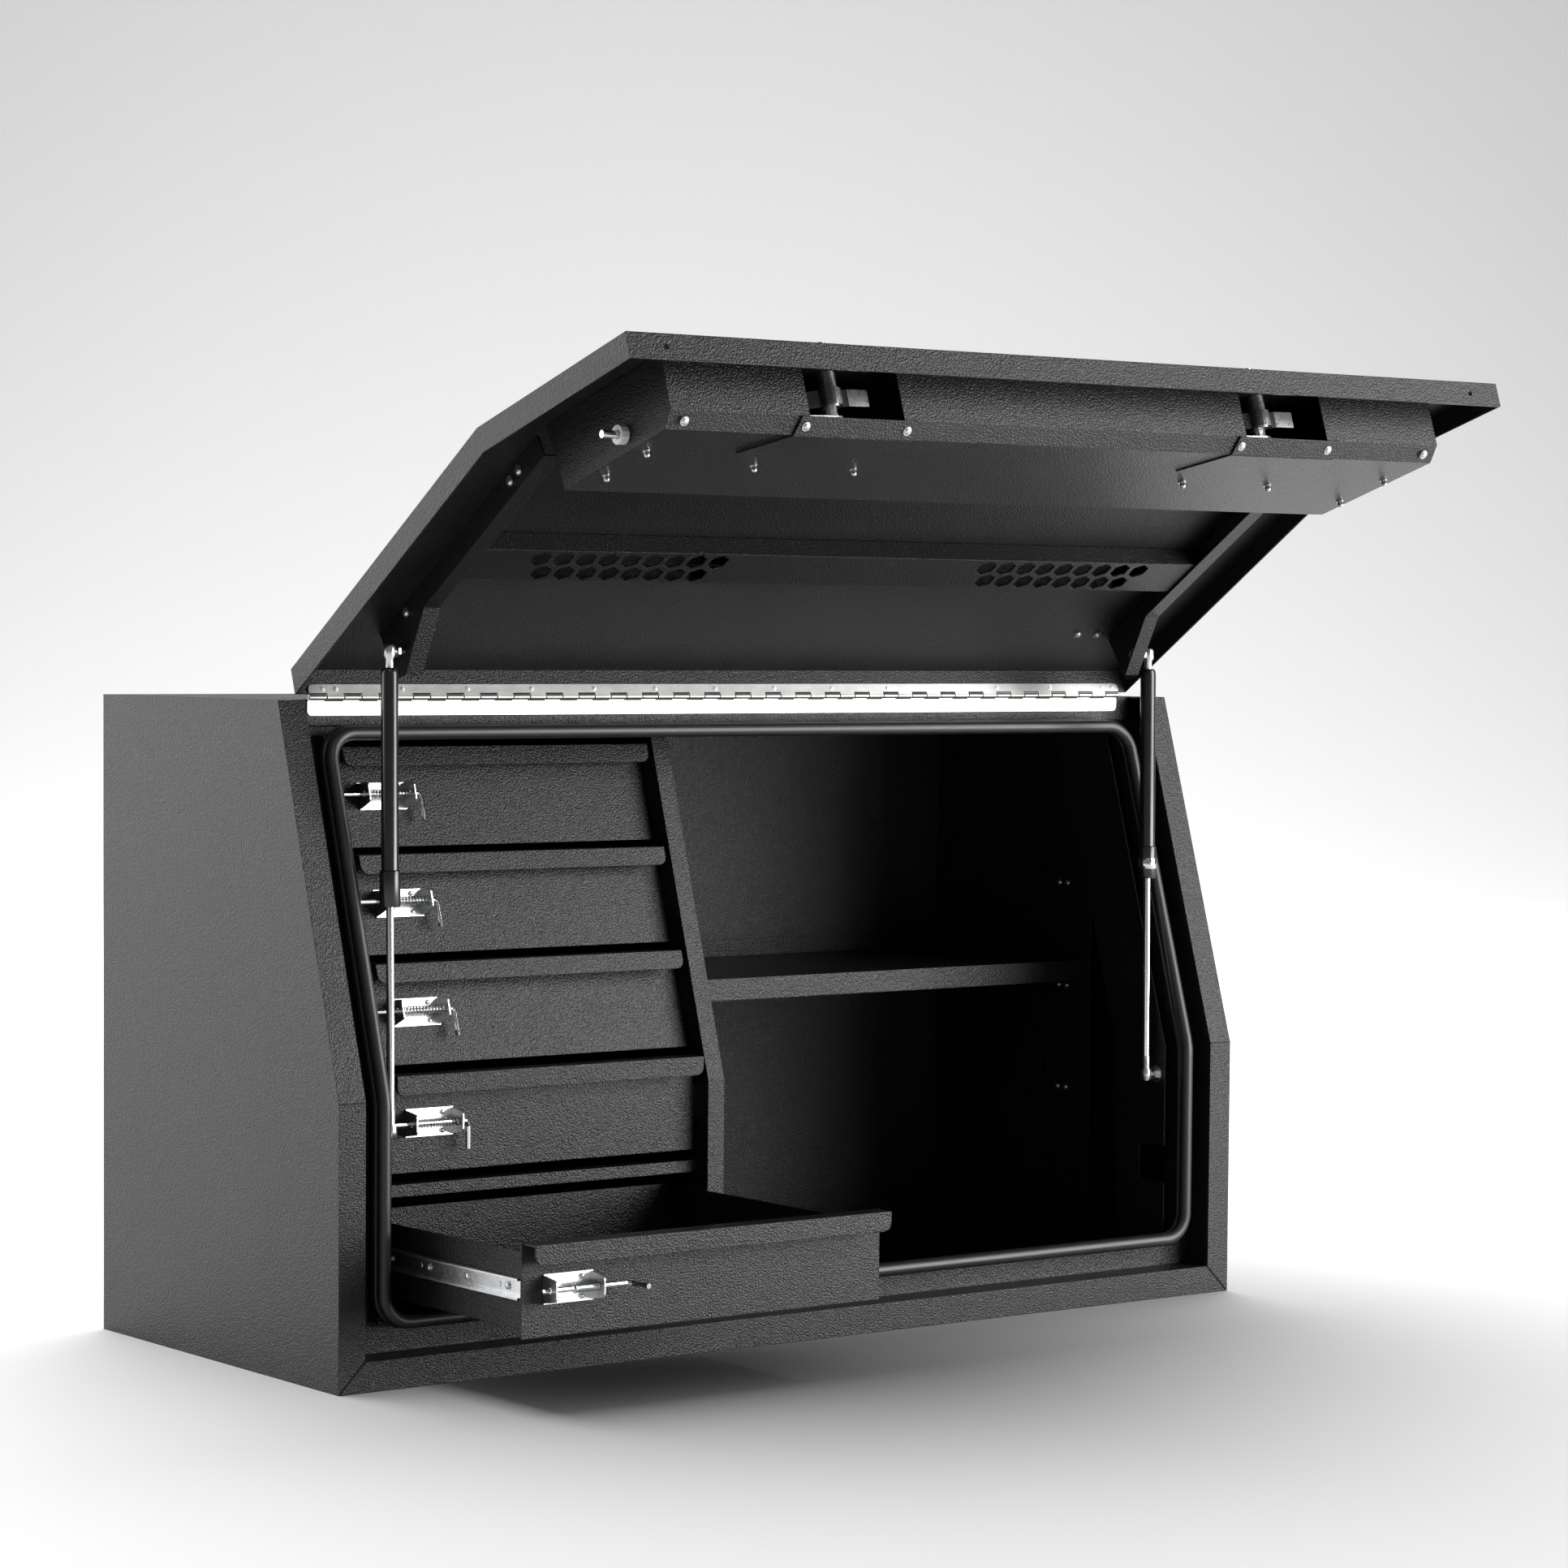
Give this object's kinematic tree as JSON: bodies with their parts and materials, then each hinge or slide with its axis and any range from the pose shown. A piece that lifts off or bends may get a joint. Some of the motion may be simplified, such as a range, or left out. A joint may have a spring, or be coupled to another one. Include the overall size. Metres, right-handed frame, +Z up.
{
  "type": "vehicle tool box",
  "caption": "Steel box with a sloping front, a lift-up lid on gas struts, a stack of latched drawers and an open shelf compartment.",
  "frame": {"origin": "centre of the base, on its underside", "axes": "+X along the width, the front faces -Y, +Z up"},
  "size_m": [1.22, 0.9505, 1.0548],
  "materials": {
    "powder": "textured satin",
    "stainless": "bright",
    "zinc": "plated",
    "rubber": "satin",
    "strut_black": "gloss",
    "chrome": "polished",
    "nylon": "satin"
  },
  "bodies": {
    "cabinet": {"left_side_panel": "powder", "right_side_panel": "powder", "top_panel": "powder", "back_panel": "powder", "floor_panel": "powder", "door_frame": "powder", "door_seal": "rubber", "left_inner_panel": "powder", "right_inner_panel": "powder", "divider_panel": "powder", "right_partition": "powder", "shelf": "powder", "drawer_rail": "powder", "hinge_body_leaf": "stainless", "hinge_pin": "stainless", "slide_1_left_outer": "zinc", "slide_1_right_outer": "zinc", "slide_2_left_outer": "zinc", "slide_2_right_outer": "zinc", "slide_3_left_outer": "zinc", "slide_3_right_outer": "zinc", "slide_4_left_outer": "zinc", "slide_4_right_outer": "zinc", "slide_5_left_outer": "zinc", "slide_5_right_outer": "zinc"},
    "lid": {"lid_panel": "powder", "hinge_lid_leaf": "stainless", "cross_channel": "powder", "lock_tray": "powder", "lid_channel_left": "powder", "lid_channel_right": "powder", "rod_bush_left": "nylon", "rod_bush_right": "nylon"},
    "drawer_1": {"drawer_1": "powder", "latch_1_bracket": "zinc"},
    "latch_bolt_1": {"latch_1_bolt": "chrome"},
    "drawer_2": {"drawer_2": "powder", "latch_2_bracket": "zinc"},
    "latch_bolt_2": {"latch_2_bolt": "chrome"},
    "drawer_3": {"drawer_3": "powder", "latch_3_bracket": "zinc"},
    "latch_bolt_3": {"latch_3_bolt": "chrome"},
    "drawer_4": {"drawer_4": "powder", "latch_4_bracket": "zinc"},
    "latch_bolt_4": {"latch_4_bolt": "chrome"},
    "drawer_5": {"drawer_5": "powder", "latch_5_bracket": "zinc", "slide_5_left_inner": "zinc", "slide_5_right_inner": "zinc"},
    "latch_bolt_5": {"latch_5_bolt": "chrome"},
    "lock_left": {"lock_handle_left": "zinc", "lock_cam_left": "zinc"},
    "rod_left": {"lock_rod_left": "zinc"},
    "strut_tube_left": {"left_strut_tube": "strut_black"},
    "strut_rod_left": {"left_strut_rod": "chrome"},
    "lock_right": {"lock_handle_right": "zinc", "lock_cam_right": "zinc"},
    "rod_right": {"lock_rod_right": "zinc"},
    "strut_tube_right": {"right_strut_tube": "strut_black"},
    "strut_rod_right": {"right_strut_rod": "chrome"}
  },
  "joints": [
    {"name": "lid_hinge", "type": "hinge", "parent": "cabinet", "child": "lid", "pos_m": [0, -0.1008, 0.702], "axis": [-1, 0, 0], "range_deg": [-107.76, 0], "stiffness_Nm_per_rad": 30, "springref_deg": 91.67},
    {"name": "drawer_1_slide", "type": "slide", "parent": "cabinet", "child": "drawer_1", "axis": [0, -1, 0], "range_m": [0, 0.225]},
    {"name": "latch_1_draw", "type": "slide", "parent": "drawer_1", "child": "latch_bolt_1", "axis": [1, 0, 0], "range_m": [0, 0.018], "stiffness_N_per_m": 400, "springref_m": -0.015},
    {"name": "drawer_2_slide", "type": "slide", "parent": "cabinet", "child": "drawer_2", "axis": [0, -1, 0], "range_m": [0, 0.26]},
    {"name": "latch_2_draw", "type": "slide", "parent": "drawer_2", "child": "latch_bolt_2", "axis": [1, 0, 0], "range_m": [0, 0.018], "stiffness_N_per_m": 400, "springref_m": -0.015},
    {"name": "drawer_3_slide", "type": "slide", "parent": "cabinet", "child": "drawer_3", "axis": [0, -1, 0], "range_m": [0, 0.295]},
    {"name": "latch_3_draw", "type": "slide", "parent": "drawer_3", "child": "latch_bolt_3", "axis": [1, 0, 0], "range_m": [0, 0.018], "stiffness_N_per_m": 400, "springref_m": -0.015},
    {"name": "drawer_4_slide", "type": "slide", "parent": "cabinet", "child": "drawer_4", "axis": [0, -1, 0], "range_m": [0, 0.33]},
    {"name": "latch_4_draw", "type": "slide", "parent": "drawer_4", "child": "latch_bolt_4", "axis": [1, 0, 0], "range_m": [0, 0.018], "stiffness_N_per_m": 400, "springref_m": -0.015},
    {"name": "drawer_5_slide", "type": "slide", "parent": "cabinet", "child": "drawer_5", "axis": [0, -1, 0], "range_m": [-0.333, 0]},
    {"name": "latch_5_draw", "type": "slide", "parent": "drawer_5", "child": "latch_bolt_5", "axis": [1, 0, 0], "range_m": [-0.018, 0]},
    {"name": "lock_left_turn", "type": "hinge", "parent": "lid", "child": "lock_left", "pos_m": [-0.285, -0.61432, 1.02314], "axis": [0, 0.305, 0.9523], "range_deg": [0, 90]},
    {"name": "rod_left_slide", "type": "slide", "parent": "lid", "child": "rod_left", "axis": [-1, 0, 0], "range_m": [0, 0.015]},
    {"name": "strut_left_swing", "type": "hinge", "parent": "lid", "child": "strut_tube_left", "pos_m": [-0.52, -0.19745, 0.75102], "axis": [1, 0, 0], "range_deg": [-121.24, 0]},
    {"name": "strut_left_stroke", "type": "slide", "parent": "strut_tube_left", "child": "strut_rod_left", "axis": [0, 0.0104, 0.9999], "range_m": [0, 0.14581]},
    {"name": "lock_right_turn", "type": "hinge", "parent": "lid", "child": "lock_right", "pos_m": [0.285, -0.61432, 1.02314], "axis": [0, 0.305, 0.9523], "range_deg": [0, 90]},
    {"name": "rod_right_slide", "type": "slide", "parent": "lid", "child": "rod_right", "axis": [1, 0, 0], "range_m": [0, 0.015]},
    {"name": "strut_right_swing", "type": "hinge", "parent": "lid", "child": "strut_tube_right", "pos_m": [0.52, -0.19745, 0.75102], "axis": [1, 0, 0], "range_deg": [-121.24, 0]},
    {"name": "strut_right_stroke", "type": "slide", "parent": "strut_tube_right", "child": "strut_rod_right", "axis": [0, 0.0104, 0.9999], "range_m": [0, 0.14581]}
  ],
  "couplings": [
    {"joint": "drawer_5_slide", "follows": "lid_hinge", "m_per_rad": 0.17706},
    {"joint": "rod_left_slide", "follows": "lock_left_turn", "m_per_rad": 0.0094856},
    {"joint": "strut_left_swing", "follows": "lid_hinge", "ratio": 1.125},
    {"joint": "strut_left_stroke", "follows": "lid_hinge", "m_per_rad": -0.07742},
    {"joint": "rod_right_slide", "follows": "lock_right_turn", "m_per_rad": 0.0094856},
    {"joint": "strut_right_swing", "follows": "lid_hinge", "ratio": 1.125},
    {"joint": "strut_right_stroke", "follows": "lid_hinge", "m_per_rad": -0.07742}
  ]
}
